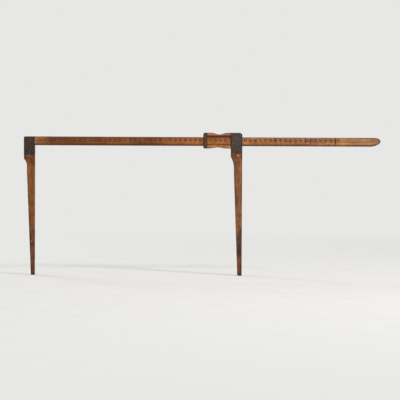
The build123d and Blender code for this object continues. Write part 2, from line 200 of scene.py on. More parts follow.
def aged_wood(name, axis, tones, low, high, patches=(), bands=(), contrast=1.0, seed=0.0):
    """Old oiled wood with its grain along an axis.

    tones are colours by place from low to high along the axis. patches are (centre, radii, colour,
    strength) of local stains and bare places. bands are functions of the graph that give a mask from
    0 to 1 for a near-black brown, painted shade on the beam's lower bevels among them. contrast is
    how strongly the figure and the blotches show.
    """
    g = Graph(name)

    def shade(colour, pattern, dark, light):
        dark = 1 - (1 - dark) * contrast
        light = 1 + (light - 1) * contrast
        return g.scaled(colour, g.band(pattern, 0.3, 0.72, dark, light))

    figure = g.noise(g.stretched(*along(axis, 5.0, 75), seed), 1.0, 4.0, 0.6, 0.8)
    streaks = g.noise(g.stretched(*along(axis, 9, 330), seed + 3), 1.0, 3.0, 0.6, 0.3)
    fibres = g.noise(g.stretched(*along(axis, 45, 2400), seed + 7), 1.0, 2.0, 0.6)
    pores = g.noise(g.stretched(*along(axis, 170, 3200), seed + 11), 1.0, 1.0, 0.5)
    blotches = g.noise(g.stretched(1, 1, 1, seed), 42.0, 5.0, 0.7, 0.5)
    worn = g.noise(g.here, 95.0, 5.0, 0.7)

    wobble = g.math("MULTIPLY", g.math("SUBTRACT", g.noise(g.here, 40.0, 3.0), 0.5), 0.03)
    place = g.math("DIVIDE", g.math("SUBTRACT", g.xyz[axis], low), high - low)
    colour = g.ramp(g.math("ADD", place, wobble), tones)

    warm = g.noise(g.stretched(*along(axis, 14, 90), seed + 17), 1.0, 4.0, 0.6, 0.6)
    colour = g.mix(g.band(warm, 0.45, 0.7, 0.0, 0.5), colour, srgb(176, 108, 44), "SOFT_LIGHT")
    colour = g.mix(g.band(warm, 0.5, 0.28, 0.0, 0.45), colour, srgb(84, 40, 32), "SOFT_LIGHT")
    colour = shade(colour, figure, 0.68, 1.27)
    colour = shade(colour, streaks, 0.8, 1.16)
    colour = shade(colour, fibres, 0.9, 1.08)
    colour = shade(colour, blotches, 0.72, 1.24)
    pore_mask = g.band(pores, 0.6, 0.72)
    colour = g.mix(g.math("MULTIPLY", pore_mask, 0.55), colour, srgb(38, 22, 13))
    for centre, radii, stain, strength in patches:
        colour = g.mix(g.math("MULTIPLY", g.patch(centre, radii), strength), colour, stain)
    # painted shade and handling grime: the rounded edges darkened, patchily
    edge_grime_and_shade = g.math("MULTIPLY", g.edge(), g.band(worn, 0.35, 0.6, 0.85, 0.35))
    colour = g.mix(edge_grime_and_shade, colour, srgb(66, 38, 23))
    # each band darkens towards one near-black brown; on the beam's lower bevels this is painted shade
    for mask in bands:
        colour = g.mix(mask(g), colour, srgb(40, 25, 16))

    roughness = g.band(worn, 0.3, 0.7, 0.42, 0.66)
    ridges = g.math("ADD", g.math("MULTIPLY", fibres, 0.5), g.math("MULTIPLY", streaks, 0.7))
    rough_height = g.math("ADD", ridges, g.math("MULTIPLY", worn, 0.9))
    g.shader.inputs["Specular IOR Level"].default_value = 0.28
    g.bump(g.math("SUBTRACT", rough_height, g.math("MULTIPLY", pore_mask, 0.8)), 0.25 * MM)
    return g.finish(colour, roughness)


def blackened_iron(name, tones, rust=0.45, patches=(), seed=0.0, metal=0.35, rubbed=0.3):
    """Hand-forged iron: mottled dark patina, rust, rubbed specks, a hammered skin, and dark rims that are
    painted shade on the bevels.
    """
    g = Graph(name)
    cloud = g.noise(g.stretched(1, 1, 1, seed), 85.0, 5.0, 0.68, 0.6)
    drift = g.noise(g.stretched(1, 1, 1, seed + 13), 46.0, 3.0, 0.6, 0.4)
    grit = g.noise(g.stretched(1, 1, 1, seed + 5), 900.0, 3.0, 0.7)
    warm, mid, cool = tones
    colour = g.ramp(drift, ((0.34, warm), (0.5, mid), (0.66, cool)))
    colour = g.scaled(colour, g.band(cloud, 0.3, 0.72, 0.62, 1.4))
    rust_field = g.noise(g.stretched(1, 1, 1, seed + 9), 52.0, 6.0, 0.75, 0.8)
    rust_mask = g.math("MULTIPLY", g.band(rust_field, 0.54, 0.7), rust)
    colour = g.mix(rust_mask, colour, srgb(112, 62, 36))
    for centre, radii, stain, strength in patches:
        colour = g.mix(g.math("MULTIPLY", g.patch(centre, radii), strength), colour, stain)
    # painted shade: the bevelled rims of plates and rivet heads darkened
    colour = g.mix(g.math("MULTIPLY", g.edge(), 0.75), colour, srgb(44, 34, 29))
    scratches = g.noise(g.stretched(60, 60, 1500, seed + 2), 1.0, 2.0, 0.6)
    bright = g.math("MULTIPLY", g.band(scratches, 0.66, 0.76), rubbed)
    colour = g.mix(bright, colour, srgb(146, 138, 128))
    colour = g.scaled(colour, g.band(grit, 0.3, 0.7, 0.85, 1.12))
    roughness = g.band(cloud, 0.3, 0.7, 0.5, 0.74)
    pits = g.math("ADD", g.math("MULTIPLY", cloud, 0.8), g.math("MULTIPLY", grit, 0.25))
    g.bump(pits, 0.45 * MM)
    g.shader.inputs["Metallic"].default_value = metal
    g.shader.inputs["Specular IOR Level"].default_value = 0.3
    return g.finish(colour, roughness)


INK_TONES = (
    (0.00, srgb(92, 55, 30)),
    (0.32, srgb(84, 49, 24)),
    (0.42, srgb(62, 34, 17)),
    (0.62, srgb(54, 30, 15)),
    (1.00, srgb(60, 36, 20)),
)


def stamped_ink(name):
    """Dark filling of the stamped scale, rubbed lighter in places and faint near the fixed jaw."""
    g = Graph(name)
    place = g.math("DIVIDE", g.math("SUBTRACT", g.xyz[X], ZERO_X), BEAM_LENGTH)
    colour = g.ramp(place, INK_TONES)
    wear = g.noise(g.here, 210.0, 4.0, 0.7)
    colour = g.mix(g.band(wear, 0.52, 0.7, 0.0, 0.7), colour, srgb(112, 68, 40))
    g.bump(wear, 0.1 * MM)
    g.shader.inputs["Specular IOR Level"].default_value = 0.15
    return g.finish(colour, g.band(wear, 0.3, 0.7, 0.6, 0.85))


# ------------------------------------------------------------------ grime and painted shade masks
def beam_lower_bevel_shade(g):
    """Painted shade on the beam's lower bevels, less of it beyond the slider."""
    bevel = g.band(g.xyz[Z], BEAM_TOP - 30.5 * MM, BEAM_TOP - 27.0 * MM, 0.38, 0.0)
    return g.math("MULTIPLY", bevel, g.band(g.xyz[X], -150 * MM, 150 * MM, 0.35, 1.0))


def beam_upper_edge(g):
    return g.band(g.xyz[Z], BEAM_TOP - 2.6 * MM, BEAM_TOP - 0.6 * MM, 0.0, 0.35)


def beam_end_rim(g):
    """Black rim round the free end."""
    from_end = g.math("SUBTRACT", beam_high.x, g.xyz[X])
    near_end = g.band(from_end, 60 * MM, 110 * MM, 0.8, 0.0)
    upper = g.band(g.xyz[Z], BEAM_TOP - 30 * MM, BEAM_TOP - 10 * MM)
    return g.math("MULTIPLY", near_end, g.math("MULTIPLY", g.edge(), upper))


def tip_blackening(g):
    """Black on the last centimetre of a jaw, with a ragged upper edge."""
    ragged = g.math("MULTIPLY", g.noise(g.here, 130.0, 4.0), 9 * MM)
    return g.band(g.math("SUBTRACT", g.xyz[Z], ragged), -1 * MM, 6 * MM, 0.9, 0.0)


# ------------------------------------------------------------------ tones along each piece
BEAM_TONES = (
    (0.000, srgb(138, 90, 50)),
    (0.036, srgb(156, 109, 62)),
    (0.064, srgb(148, 94, 44)),
    (0.071, srgb(114, 66, 30)),
    (0.160, srgb(124, 73, 30)),
    (0.230, srgb(135, 78, 29)),
    (0.285, srgb(160, 95, 41)),
    (0.310, srgb(130, 76, 33)),
    (0.360, srgb(122, 70, 30)),
    (0.385, srgb(144, 85, 39)),
    (0.450, srgb(173, 107, 53)),
    (0.560, srgb(166, 104, 52)),
    (0.640, srgb(169, 115, 69)),
    (0.770, srgb(171, 118, 79)),
    (0.800, srgb(183, 129, 89)),
    (0.840, srgb(177, 123, 83)),
    (0.868, srgb(180, 126, 85)),
    (0.895, srgb(198, 141, 88)),
    (0.930, srgb(173, 130, 92)),
    (1.000, srgb(169, 126, 94)),
)
FIXED_JAW_TONES = (
    (0.00, srgb(101, 59, 31)),
    (0.10, srgb(114, 72, 41)),
    (0.14, srgb(119, 67, 35)),
    (0.19, srgb(122, 79, 46)),
    (0.29, srgb(106, 69, 36)),
    (0.34, srgb(128, 83, 44)),
    (0.42, srgb(142, 88, 42)),
    (0.52, srgb(139, 87, 40)),
    (0.58, srgb(141, 88, 40)),
    (0.64, srgb(151, 94, 42)),
    (0.70, srgb(152, 97, 42)),
    (0.76, srgb(150, 91, 43)),
    (0.80, srgb(125, 76, 36)),
    (0.87, srgb(120, 71, 34)),
    (1.00, srgb(112, 68, 36)),
)
SLIDING_JAW_TONES = (
    (0.00, srgb(98, 56, 32)),
    (0.05, srgb(120, 68, 38)),
    (0.15, srgb(112, 69, 44)),
    (0.18, srgb(90, 61, 43)),
    (0.30, srgb(102, 68, 46)),
    (0.36, srgb(163, 108, 68)),
    (0.50, srgb(168, 110, 67)),
    (0.57, srgb(122, 82, 56)),
    (0.64, srgb(128, 85, 51)),
    (0.70, srgb(142, 94, 53)),
    (0.76, srgb(147, 98, 54)),
    (1.00, srgb(124, 79, 45)),
)
RAIL_TONES = ((0.0, srgb(178, 126, 74)), (0.5, srgb(179, 121, 69)), (1.0, srgb(186, 131, 79)))

EVERY_Y = 60 * MM                        # a patch this deep shows on the front and on the back
DARK_STAIN = srgb(58, 34, 25)
RED_STAIN = srgb(104, 52, 28)
BARE_WOOD = srgb(176, 122, 80)

FIXED_PATCHES = (
    ((ZERO_X - 15 * MM, 0, fixed_plate_low.z - 24 * MM), (6 * MM, EVERY_Y, 15 * MM), srgb(86, 52, 16), 1.0),
    ((ZERO_X - 4 * MM, 0, fixed_plate_low.z - 20 * MM), (7 * MM, EVERY_Y, 22 * MM), RED_STAIN, 0.7),
    ((ZERO_X - 26 * MM, 0, fixed_plate_low.z - 6 * MM), (14 * MM, EVERY_Y, 5 * MM), srgb(150, 98, 74), 0.6),
    ((ZERO_X - 16 * MM, 0, 148 * MM), (4.5 * MM, EVERY_Y, 12 * MM), DARK_STAIN, 0.85),
    ((ZERO_X - 13 * MM, 0, 133 * MM), (5 * MM, EVERY_Y, 5 * MM), srgb(160, 112, 84), 0.7),
    ((ZERO_X - 10 * MM, 0, 123 * MM), (16 * MM, EVERY_Y, 3.4 * MM), DARK_STAIN, 1.0),
    ((ZERO_X - 9 * MM, 0, 84 * MM), (8 * MM, EVERY_Y, 14 * MM), srgb(128, 62, 36), 0.6),
)
SLIDING_PATCHES = (
    ((SLIDE_X - 30 * MM, 0, head_plate_low.z - 11 * MM), (9 * MM, EVERY_Y, 8 * MM), RED_STAIN, 0.9),
    ((SLIDE_X - 16 * MM, 0, head_plate_low.z - 9 * MM), (9 * MM, EVERY_Y, 8 * MM), BARE_WOOD, 0.75),
    ((SLIDE_X - 2 * MM, 0, head_plate_low.z - 17 * MM), (7 * MM, EVERY_Y, 14 * MM), DARK_STAIN, 1.0),
    ((SLIDE_X - 26 * MM, 0, head_plate_low.z - 27 * MM), (5 * MM, EVERY_Y, 7 * MM), srgb(158, 88, 36), 0.7),
    ((SLIDE_X - 14 * MM, 0, 376 * MM), (5 * MM, EVERY_Y, 7 * MM), srgb(104, 62, 26), 0.8),
    ((SLIDE_X - 22 * MM, 0, 360 * MM), (7 * MM, EVERY_Y, 24 * MM), srgb(158, 98, 74), 0.5),
    ((SLIDE_X - 3 * MM, 0, 172 * MM), (10 * MM, EVERY_Y, 26 * MM), srgb(78, 48, 34), 0.85),
    ((SLIDE_X - 12 * MM, 0, 98 * MM), (12 * MM, EVERY_Y, 12 * MM), DARK_STAIN, 0.8),
    ((SLIDE_X - 10 * MM, 0, 62 * MM), (9 * MM, EVERY_Y, 18 * MM), srgb(142, 74, 46), 0.6),
)
BEAM_PATCHES = (
    ((ZERO_X + 2 * MM, 0, BEAM_TOP - 14 * MM), (4 * MM, EVERY_Y, 18 * MM), srgb(184, 156, 112), 0.5),
    ((ZERO_X + 18 * MM, 0, BEAM_TOP - 12 * MM), (6 * MM, EVERY_Y, 20 * MM), srgb(138, 92, 30), 0.6),
    ((SLIDE_X - 64 * MM, 0, BEAM_TOP - 10 * MM), (22 * MM, EVERY_Y, 12 * MM), srgb(150, 88, 70), 0.6),
    ((SLIDE_X + 14 * MM, 0, BEAM_TOP - 20 * MM), (12 * MM, EVERY_Y, 9 * MM), srgb(204, 138, 74), 0.7),
)
# stains, rust and nicks of the sliding head's plate, with painted shadow, painted shade and a painted
# highlight among them
HEAD_STAINS_AND_PAINTED_LIGHT = (
    # painted shadow that the plate's left edge casts on the beam
    ((head_plate_low.x, 0, BEAM_TOP - 17 * MM), (4.6 * MM, EVERY_Y, 19 * MM), srgb(66, 34, 22), 1.0),
    # painted shade on the plate's lower bevel
    ((SLIDE_X - 20 * MM, 0, head_plate_low.z), (40 * MM, EVERY_Y, 4.5 * MM), srgb(58, 48, 46), 0.8),
    # painted shade on the plate's rounded right edge
    ((SLIDE_X, 0, BEAM_TOP - 20 * MM), (3.6 * MM, EVERY_Y, 40 * MM), srgb(50, 54, 48), 0.8),
    # painted shade in the plate's rounded top right corner
    ((SLIDE_X - 4 * MM, 0, BEAM_TOP + 12 * MM), (9 * MM, EVERY_Y, 9 * MM), srgb(34, 34, 34), 0.9),
    ((SLIDE_X - 14 * MM, 0, head_plate_low.z + 18 * MM), (6 * MM, EVERY_Y, 5 * MM), srgb(116, 66, 42), 0.65),
    ((SLIDE_X - 20 * MM, 0, BEAM_TOP - 30 * MM), (10 * MM, EVERY_Y, 9 * MM), srgb(80, 84, 92), 0.5),
    ((SLIDE_X - 18 * MM, 0, BEAM_TOP - 4 * MM), (12 * MM, EVERY_Y, 9 * MM), srgb(76, 84, 74), 0.6),
    ((SLIDE_X - 41 * MM, 0, BEAM_TOP + 13 * MM), (10 * MM, EVERY_Y, 6 * MM), srgb(112, 70, 42), 0.7),
    ((SLIDE_X - 39 * MM, 0, BEAM_TOP - 22 * MM), (1.5 * MM, EVERY_Y, 1.6 * MM), srgb(200, 190, 178), 0.8),
    # painted highlight on the plate's rounded top right corner
    ((SLIDE_X - 8 * MM, 0, BEAM_TOP + 9 * MM), (1.8 * MM, EVERY_Y, 1.4 * MM), srgb(196, 196, 192), 0.9),
)
END_PATCHES = (
    ((upper_low.x + 4 * MM, 0, BEAM_TOP + 13 * MM), (9 * MM, EVERY_Y, 9 * MM), srgb(48, 48, 36), 0.9),
    ((upper_low.x + 3 * MM, 0, BEAM_TOP + 1 * MM), (6 * MM, EVERY_Y, 6 * MM), srgb(74, 56, 60), 0.7),
    ((upper_low.x + 12 * MM, 0, BEAM_TOP - 22 * MM), (5 * MM, EVERY_Y, 8 * MM), srgb(92, 84, 76), 0.7),
    ((upper_low.x + 8 * MM, 0, BEAM_TOP - 41 * MM), (12 * MM, EVERY_Y, 8 * MM), srgb(72, 42, 38), 0.8),
)

beam_wood = aged_wood(
    "beam_wood", X, BEAM_TONES, beam_low.x, beam_high.x, BEAM_PATCHES,
    (beam_lower_bevel_shade, beam_upper_edge, beam_end_rim), contrast=0.8,
)
fixed_jaw_wood = aged_wood(
    "fixed_jaw_wood", Z, FIXED_JAW_TONES, fixed_low.z, fixed_high.z, FIXED_PATCHES, (tip_blackening,),
    contrast=1.3, seed=1.7,
)
sliding_jaw_wood = aged_wood(
    "sliding_jaw_wood", Z, SLIDING_JAW_TONES, sliding_low.z, sliding_high.z, SLIDING_PATCHES,
    (tip_blackening,), contrast=1.2, seed=4.1,
)
rail_wood = aged_wood("rail_wood", X, RAIL_TONES, upper_low.x, upper_high.x, seed=6.3)
FIXED_IRON_TONES = (srgb(70, 49, 38), srgb(67, 55, 46), srgb(58, 55, 50))
SLIDER_IRON_TONES = (srgb(90, 65, 50), srgb(77, 65, 58), srgb(68, 67, 67))
END_IRON_TONES = (srgb(108, 57, 26), srgb(100, 58, 31), srgb(82, 58, 41))
fixed_iron = blackened_iron("fixed_iron", FIXED_IRON_TONES, rust=0.25)
slider_iron = blackened_iron("slider_iron", SLIDER_IRON_TONES, rust=0.3, patches=HEAD_STAINS_AND_PAINTED_LIGHT, seed=2.0)
end_iron = blackened_iron("end_iron", END_IRON_TONES, rust=0.6, patches=END_PATCHES, seed=3.0)
# dull rust-brown iron; on the pressure strip this dark red-brown is also painted shade for the deep slot
# above the beam
SPRING_AND_SLOT_SHADE_TONES = (srgb(94, 42, 15), srgb(76, 35, 13), srgb(60, 31, 16))
spring_iron = blackened_iron(
    "spring_iron", SPRING_AND_SLOT_SHADE_TONES, rust=0.3, seed=6.0, metal=0.0, rubbed=0.06,
)
ink = stamped_ink("stamped_ink")


# ------------------------------------------------------------------ mesh building
EDGES = {}                               # ends of every edge of a CAD node, by node, once it is read
CORNER_STEPS = 3
END_OFFSETS = [offset * MM for offset in (0.02, 0.15, 0.4, 0.8, 1.3, 2.0, 3.2)]
END_ZONE = 4 * MM                        # left at each end for the offsets above
NICK_FINENESS = 2.7                      # of the nicks along the edges, against the waves of the flats
NICK_LEVEL = 0.12                        # noise above this makes a nick
NICK_GAIN = 2.2


def slice_box(node, axis, place):
    """Lowest and highest corners of a CAD node's slice at a place along an axis."""
    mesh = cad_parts[node].data
    if node not in EDGES:
        corners = [v.co.copy() for v in mesh.vertices]
        EDGES[node] = [(corners[e.vertices[0]], corners[e.vertices[1]]) for e in mesh.edges]
    cut = []
    for a, b in EDGES[node]:
        if (a[axis] - place) * (b[axis] - place) <= 0 and a[axis] != b[axis]:
            cut.append(a.lerp(b, (place - a[axis]) / (b[axis] - a[axis])))
    return Vector(map(min, zip(*cut))), Vector(map(max, zip(*cut)))


def spread(low, high, step, extra=()):
    """Places from low to high, close together at both ends and at the extra places."""
    places = [low + offset for offset in END_OFFSETS] + [high - offset for offset in END_OFFSETS]
    middle = high - low - 2 * END_ZONE
    count = max(1, round(middle / step))
    places += [low + END_ZONE + middle * i / count for i in range(count + 1)]
    return sorted(set(places) | set(extra))


def rounded_loop(a0, b0, a1, b1, corners, steps_a, steps_b):
    """Points (a, b, edge) round a rectangle, anticlockwise from its high-a, high-b corner.

    corners are (reach along a, reach along b, bulge) of each corner: a bulge of 0 is a straight
    chamfer and 1 is a full round. steps are the divisions of the sides along a and along b.
    """
    spots = ((a1, b1, 1, 1), (a0, b1, -1, 1), (a0, b0, -1, -1), (a1, b0, 1, -1))
    loop = []
    for index, ((a, b, sign_a, sign_b), (ra, rb, bulge)) in enumerate(zip(spots, corners)):
        ra = min(ra, 0.48 * (a1 - a0))
        rb = min(rb, 0.48 * (b1 - b0))
        for step in range(CORNER_STEPS + 1):
            t = step / CORNER_STEPS
            if index % 2:
                t = 1 - t
            round_a, round_b = math.cos(t * math.pi / 2), math.sin(t * math.pi / 2)
            in_a = (1 - t) * (1 - bulge) + round_a * bulge
            in_b = t * (1 - bulge) + round_b * bulge
            edge = 1.0 if 0 < step < CORNER_STEPS else 0.6
            loop.append((a - sign_a * ra * (1 - in_a), b - sign_b * rb * (1 - in_b), edge))
    sides = (steps_a, steps_b, steps_a, steps_b)
    points = []
    per_corner = CORNER_STEPS + 1
    for index, steps in enumerate(sides):
        arc = loop[index * per_corner:(index + 1) * per_corner]
        start, end = arc[-1], loop[(index + 1) * per_corner % len(loop)]
        points += arc
        for step in range(1, steps):
            t = step / steps
            points.append((start[0] + (end[0] - start[0]) * t, start[1] + (end[1] - start[1]) * t, 0.0))
    return points


def loft(sheet, axis, rings):
    """Closed skin through rings of (a, b, edge) points, each given as (place, loop)."""
    layer = sheet.verts.layers.float.get("edge") or sheet.verts.layers.float.new("edge")
    others = [index for index in (X, Y, Z) if index != axis]
    skin = []
    for place, loop in rings:
        ring = []
        for a, b, edge in loop:
            point = Vector((0, 0, 0))
            point[axis], point[others[0]], point[others[1]] = place, a, b
            vertex = sheet.verts.new(point)
            vertex[layer] = edge
            ring.append(vertex)
        skin.append(ring)
    for below, above in zip(skin, skin[1:]):
        count = len(below)
        for i in range(count):
            j = (i + 1) % count
            sheet.faces.new((below[i], below[j], above[j], above[i]))
    sheet.faces.new(skin[0][::-1])
    sheet.faces.new(skin[-1])


def soften(sheet, wear, nicks, grain, seed, kept=Vector((0, 0, 0))):
    """Wears the skin inwards: low waves over the flats and ragged nicks along the edges.

    grain is how long the marks are along X, Y and Z, in metres. Faces that look along kept stay
    flat, because another piece runs on them.
    """
    sheet.normal_update()
    layer = sheet.verts.layers.float["edge"]
    shift = Vector((seed, 2 * seed, 3 * seed))
    moves = []
    for vertex in sheet.verts:
        spot = Vector(c / size for c, size in zip(vertex.co, grain)) + shift
        waves = 0.5 + 0.5 * noise.fractal(spot, 1.0, 2.0, 3)
        bites = max(0.0, noise.noise(spot * NICK_FINENESS + shift) - NICK_LEVEL) * NICK_GAIN
        depth = wear * min(1.0, max(0.0, waves)) + nicks * vertex[layer] * bites
        if vertex.normal.dot(kept) > 0.7:
            depth = 0.0
        moves.append((vertex, vertex.normal * -depth))
    for vertex, move in moves:
        vertex.co += move


def piece(name, sheet, body, material, nodes, smooth_angle=35):
    """A finished mesh that rides on a body and stands for CAD nodes."""
    bmesh.ops.recalc_face_normals(sheet, faces=sheet.faces[:])
    mesh = bpy.data.meshes.new(name)
    sheet.to_mesh(mesh)
    sheet.free()
    for polygon in mesh.polygons:
        polygon.use_smooth = True
    mesh.set_sharp_from_angle(angle=math.radians(smooth_angle))
    mesh.materials.append(material)
    made = bpy.data.objects.new(name, mesh)
    bpy.context.scene.collection.objects.link(made)
    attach(made, body)
    if nodes:
        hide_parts(*nodes)
    return made


# ------------------------------------------------------------------ wooden pieces
JAW_ROUND = 2.4 * MM
TIP_ROUND = 2.8 * MM                     # worn round the foot of a jaw's sloping side
SHARP_TOP = 30 * MM                      # of a jaw, where its corners are less worn
SHARP_TOP_ROUND = 0.4                    # of JAW_ROUND
SHOULDER = 0.1 * MM                      # rings this close above and below the plate's lower edge
CHEEK_OVERLAP = 0.5 * MM                 # that the cheeks reach down into the leg
JAW_STEP = 4 * MM
BEAM_STEP = 6 * MM
RAIL_STEP = 2.5 * MM
JAW_GRAIN = (14 * MM, 14 * MM, 60 * MM)
BEAM_GRAIN = (70 * MM, 14 * MM, 14 * MM)
RAIL_GRAIN = (40 * MM, 9 * MM, 9 * MM)
LOWER_CHAMFER = (3.4 * MM, 7.2 * MM, 0.15)   # depth, height and bulge, in the beam's section
UPPER_CHAMFER = (1.6 * MM, 1.6 * MM, 1.0)
TROUGH_LIP_HALF = 7.35 * MM
TROUGH_FLOOR_HALF = 5.6 * MM
RUNNING_GAP = 0.3 * MM
RAIL_ROUND = (1.8 * MM, 1.8 * MM, 1.0)
RAIL_INNER_ROUND = (0.6 * MM, 0.6 * MM, 1.0)
TROUGH_ROUND = (0.5 * MM, 0.5 * MM, 1.0)
HIDDEN_ROUND = (0.4 * MM, 0.4 * MM, 1.0)     # of tenon and cheeks, under the plates
END_SLIVER = 0.02 * MM
END_CURVE_REACH = 22 * MM                # rings crowd towards the beam's rounded end over this length
END_CURVE_STEPS = 12


def leg_rings(node, low, high, extra=()):
    """Rings of a jaw from its CAD slices, with its four corners and its foot rounded."""
    rings = []
    for place in spread(low, high, JAW_STEP, extra):
        lowest, highest = slice_box(node, Z, place)
        above_foot = min(place - low, TIP_ROUND)
        lowest.x += TIP_ROUND - math.sqrt(TIP_ROUND ** 2 - (TIP_ROUND - above_foot) ** 2)
        reach = JAW_ROUND * (1.0 if place < high - SHARP_TOP else SHARP_TOP_ROUND)
        corners = [(reach, reach, 1.0)] * 4
        rings.append((place, rounded_loop(lowest.x, lowest.y, highest.x, highest.y, corners, 8, 4)))
    return rings


def fixed_jaw_piece():
    """Leg and solid head, with a cheek on each side of the beam's tenon."""
    sheet = bmesh.new()
    head_z = fixed_plate_low.z
    shoulder = (head_z - SHOULDER, head_z + SHOULDER)
    loft(sheet, Z, leg_rings("fixed_jaw", fixed_low.z, beam_low.z, shoulder))
    tenon_low, tenon_high = slice_box("beam", X, (beam_low.x + ZERO_X) / 2)
    corners = [HIDDEN_ROUND] * 4
    for low_y, high_y in ((fixed_low.y, tenon_low.y), (tenon_high.y, fixed_high.y)):
        rings = []
        for place in spread(beam_low.z - CHEEK_OVERLAP, fixed_high.z, JAW_STEP):
            lowest, highest = slice_box("fixed_jaw", Z, place)
            rings.append((place, rounded_loop(lowest.x, low_y, highest.x, high_y, corners, 6, 2)))
        loft(sheet, Z, rings)
    soften(sheet, wear=0.28 * MM, nicks=0.8 * MM, grain=JAW_GRAIN, seed=3.1)
    piece("worn_fixed_jaw", sheet, FIXED, fixed_jaw_wood, ["fixed_jaw"])


def sliding_jaw_piece():
    sheet = bmesh.new()
    loft(sheet, Z, leg_rings("sliding_jaw", sliding_low.z, lower_low.z))
    soften(sheet, wear=0.28 * MM, nicks=0.8 * MM, grain=JAW_GRAIN, seed=7.7)
    piece("worn_sliding_jaw", sheet, SLIDER, sliding_jaw_wood, ["sliding_jaw"])


def beam_piece():
    """Graduated bar with its two lower edges planed off, and its tenon."""
    sheet = bmesh.new()
    head_x = fixed_plate_high.x
    rings = []
    turns = [i * math.pi / 2 / END_CURVE_STEPS for i in range(1, END_CURVE_STEPS)]
    end_curve = [beam_high.x - (1 - math.cos(turn)) * END_CURVE_REACH for turn in turns]
    steps = (head_x - END_SLIVER, head_x + END_SLIVER, *end_curve)
    for place in spread(beam_low.x, beam_high.x, BEAM_STEP, steps):
        lowest, highest = slice_box("beam", X, place)
        if place < head_x:
            corners = [HIDDEN_ROUND] * 4
        else:
            corners = [UPPER_CHAMFER, UPPER_CHAMFER, LOWER_CHAMFER, LOWER_CHAMFER]
        rings.append((place, rounded_loop(lowest.y, lowest.z, highest.y, highest.z, corners, 4, 8)))
    loft(sheet, X, rings)
    soften(sheet, wear=0.12 * MM, nicks=0.8 * MM, grain=BEAM_GRAIN, seed=5.3, kept=Vector((0, 0, 1)))
    piece("worn_beam", sheet, FIXED, beam_wood, ["beam"])


def upper_rail_piece():
    sheet = bmesh.new()
    rings = []
    for place in spread(upper_low.x, upper_high.x, RAIL_STEP):
        lowest, highest = slice_box("upper_rail", X, place)
        corners = [RAIL_ROUND, RAIL_ROUND, RAIL_INNER_ROUND, RAIL_INNER_ROUND]
        loop = rounded_loop(lowest.y, upper_low.z, highest.y, highest.z, corners, 6, 4)
        rings.append((place, loop))
    loft(sheet, X, rings)
    soften(sheet, wear=0.12 * MM, nicks=0.3 * MM, grain=RAIL_GRAIN, seed=9.1, kept=Vector((0, 0, -1)))
    piece("worn_upper_rail", sheet, SLIDER, rail_wood, ["upper_rail"])


def lower_rail_piece():
    """Rail with a trough on top, where the beam's chamfered underside runs."""
    floor_z = beam_low.z - RUNNING_GAP
    trough = [
        (TROUGH_LIP_HALF, lower_high.z, 0.6),
        (TROUGH_FLOOR_HALF, floor_z, 0.0),
        (0.0, floor_z, 0.0),
        (-TROUGH_FLOOR_HALF, floor_z, 0.0),
        (-TROUGH_LIP_HALF, lower_high.z, 0.6),
    ]
    sheet = bmesh.new()
    rings = []
    for place in spread(lower_low.x, lower_high.x, RAIL_STEP):
        lowest, highest = slice_box("lower_rail", X, place)
        corners = [TROUGH_ROUND, TROUGH_ROUND, RAIL_ROUND, RAIL_ROUND]
        loop = rounded_loop(lowest.y, lowest.z, highest.y, lower_high.z, corners, 1, 4)
        top = CORNER_STEPS + 1
        rings.append((place, loop[:top] + trough + loop[top:]))
    loft(sheet, X, rings)
    soften(sheet, wear=0.12 * MM, nicks=0.3 * MM, grain=RAIL_GRAIN, seed=12.4, kept=Vector((0, 0, 1)))
    piece("worn_lower_rail", sheet, SLIDER, rail_wood, ["lower_rail"])


# ------------------------------------------------------------------ iron pieces
STRIP_WALL = 1.8 * MM
STRIP_FLOOR = 1.5 * MM
STRIP_CORNER = 0.5 * MM
STRIP_GAP = 0.03 * MM                    # to the beam below and the rail above
STRIP_GRAIN = (20 * MM, 6 * MM, 6 * MM)


def pressure_strip_piece():
    """Channel of folded iron that the spring presses on the beam."""
    low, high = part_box("pressure_strip")
    under = BEAM_TOP + STRIP_GAP
    top = upper_low.z - STRIP_GAP
    inner = high.y - STRIP_WALL
    floor = under + STRIP_FLOOR
    half = (
        (high.y - STRIP_CORNER, under, 1.0),
        (high.y, under + STRIP_CORNER, 1.0),
        (high.y, (under + top) / 2, 0.0),
        (high.y, top, 0.5),
        (inner, top, 0.5),
        (inner, floor, 0.0),
    )
    section = list(half) + [(-y, z, edge) for y, z, edge in reversed(half)]
    sheet = bmesh.new()
    loft(sheet, X, [(place, section) for place in spread(low.x, high.x, RAIL_STEP)])
    soften(sheet, wear=0.06 * MM, nicks=0.25 * MM, grain=STRIP_GRAIN, seed=15.2, kept=Vector((0, 0, -1)))
    piece("worn_pressure_strip", sheet, SLIDER, spring_iron, ["pressure_strip"])


PLATE_BEVEL = (1.2 * MM, 1.2 * MM, 0.3)
PLATE_SHARP = (0.2 * MM, 0.2 * MM, 1.0)
PLATE_STEP = 1.6 * MM
PLATE_GRAIN = (9 * MM, 9 * MM, 9 * MM)
RIVET_RADIUS = 4.0 * MM
RIVET_SEGMENTS = 20
# distance from the rivet's axis and height over the plate, as parts of the head's radius and height
RIVET_PROFILE = (
    (0.0, 0.98),
    (0.25, 1.0),
    (0.5, 0.9),
    (0.7, 0.72),
    (0.86, 0.46),
    (0.97, 0.14),
    (1.0, -0.25),
    (0.55, -0.3),
)
HAMMER_SIZE = 6.5 * MM
HAMMER_DEPTH = 0.28 * MM
HAMMER_FALL = 1.6                        # how fast a dent gets shallower away from its middle
SAME_RIVET = 2.1 * RIVET_RADIUS          # points this close to a solid's first one belong to it


